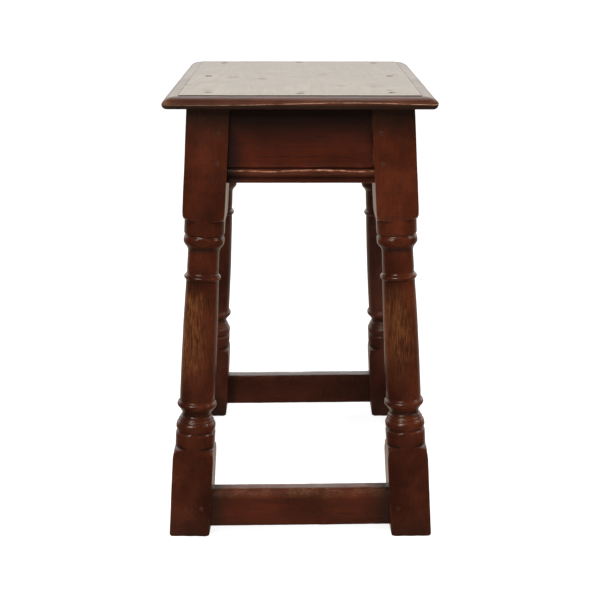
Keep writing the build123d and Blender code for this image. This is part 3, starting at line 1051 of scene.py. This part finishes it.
def pale_moulding_reflection(tree, place):
    """Painted reflection: the moulding is as pale as the face along the sides, and only on top at the ends.
    """
    split = add(tree, "SeparateXYZ", Vector=place).outputs
    shares = []
    for axis, half, (start, full) in (("X", board_high[0], side_reflection), ("Y", board_high[1], end_reflection)):
        beside = add(tree, "Math", operation="ABSOLUTE", _0=split[axis]).outputs[0]
        shares.append(fade(tree, beside, half - start, half - full))
    return both(tree, *shares)


def worn_highlit_crest(tree, place):
    """The crest of the nose is worn through, with a painted highlight, in a thin broken line."""
    crest = add(tree, "Attribute", attribute_name="crest").outputs["Fac"]
    broken = speckle(tree, place, size=60, detail=4, roughness=0.65)
    spread = ramp(tree, broken, start=0.36, full=0.62, low=0.12, high=0.8)
    return both(tree, ramp(tree, crest, start=0.30, full=0.90), spread)


# Stains and bruises on the face: place, reach and strength. They run with the grain.
stains = [
    (-0.108, 0.1868, 0.0060, 1.00),
    (0, 0.1954, 0.0050, 0.90),
    (0.1078, 0.1892, 0.0060, 1.00),
    (-0.1213, 0.0062, 0.0065, 1.00),
    (-0.0855, -0.0114, 0.0135, 0.50),
    (-0.0486, -0.0286, 0.0095, 0.75),
    (0.0299, 0.0198, 0.0095, 0.50),
    (0.1175, 0.0090, 0.0070, 0.85),
    (0.1265, 0.0200, 0.0060, 0.85),
    (-0.1390, -0.0961, 0.0065, 0.85),
    (0.0041, -0.1712, 0.0068, 0.90),
    (0.1077, -0.1508, 0.0068, 0.85),
    (0.0495, -0.1052, 0.0090, 0.45),
    (0.0923, -0.1101, 0.0150, 0.35),
    (-0.1098, -0.1525, 0.0120, 0.40),
]
stain_length = 1.6
stain_spread = 0.012
stain_heart = 0.25
stain_edge = {"Scale": 110, "Detail": 3, "Roughness": 0.6}
# Painted shade under the nose: where it starts and is full, and its share.
nose_shade = {"start": 0.5425, "full": 0.5405, "high": 0.80}


def board_dirt_and_shade(tree, place):
    """Dirt in the quirk, painted shade under the nose, and the stains on the face."""
    height = add(tree, "SeparateXYZ", Vector=place).outputs["Z"]
    quirk = add(tree, "Attribute", attribute_name="quirk").outputs["Fac"]
    broken = speckle(tree, place, size=35, detail=3, roughness=0.6)
    line = both(tree, quirk, ramp(tree, broken, start=0.38, full=0.58, low=0.55))
    dark = either(tree, fade(tree, height, **nose_shade), line)
    wander = add(tree, "TexNoise", Vector=place, **stain_edge).outputs["Color"]
    spread = (stain_spread, stain_spread, stain_spread)
    shifted = add(tree, "VectorMath", operation="MULTIPLY_ADD", _0=wander, _1=spread, _2=place).outputs[0]
    squeeze = (1, 1 / stain_length, 1)
    drawn_in = add(tree, "VectorMath", operation="MULTIPLY", _0=shifted, _1=squeeze).outputs[0]
    for x, y, reach, strength in stains:
        centre = (x + stain_spread / 2, (y + stain_spread / 2) / stain_length, board_top + stain_spread / 2)
        apart = add(tree, "VectorMath", operation="DISTANCE", _0=drawn_in, _1=centre).outputs["Value"]
        dark = either(tree, dark, fade(tree, apart, reach, reach * stain_heart, high=strength))
    return dark


# The face's pale colours are painted reflection of the bright wall, laid in the base colour.
face_deep_with_reflection = (0.155, 0.128, 0.092)
face_warm_with_reflection = (0.240, 0.203, 0.158)
face_worn = (0.19, 0.155, 0.115)
face_grime = (0.086, 0.037, 0.012)
edge_deep = (0.036, 0.0088, 0.0038)
edge_warm = (0.074, 0.0188, 0.0070)
# The moulding's pale colour is painted reflection of the bright wall.
edge_reflection_colour = (0.145, 0.114, 0.080)
# Bare wood, and the painted highlight on the nose's crest.
edge_bare_and_highlight = (0.42, 0.24, 0.155)
board.data.materials.append(
    oak(
        "board_face_oak", ALONG_Y, face_deep_with_reflection, face_warm_with_reflection, face_worn, face_grime, dark_mask=board_dirt_and_shade,
        polish=(0.39, 0.44), sheen=0.15, tint=(1.0, 0.98, 0.95),
        streaks=0.12, pores=0.25, rings=0.3, patch=30,
    )
)
board.data.materials.append(
    oak(
        "board_edge_oak", ALONG_Y, edge_deep, edge_warm, edge_reflection_colour, leg_grime_and_shade, pale_moulding_reflection, board_dirt_and_shade,
        polish=(0.36, 0.42), sheen=0.15, bare=edge_bare_and_highlight, bare_and_highlight_mask=worn_highlit_crest,
    )
)
for face in board.data.polygons:
    face.material_index = 0 if edge_inset(face.center) > field_in and face.normal.z > 0.5 else 1
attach(board, "root")
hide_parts("top_board")

# ---- the board's pegs ----------------------------------------------------------------------------------
# Eight riven pegs hold the board down on the legs and rails. They were planed off level with the
# face, and their end grain has darkened.
pegs = welded_copy("pegs_top_board", "oak_pegs_top_board")
handled(pegs, hollow=0.0004, dent=0.0002)
pegs.data.materials.append(oak("board_peg_oak", ALONG_Z, peg_deep, peg_warm, edge_bare_and_highlight, face_grime))
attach(pegs, "root")
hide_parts("pegs_top_board")
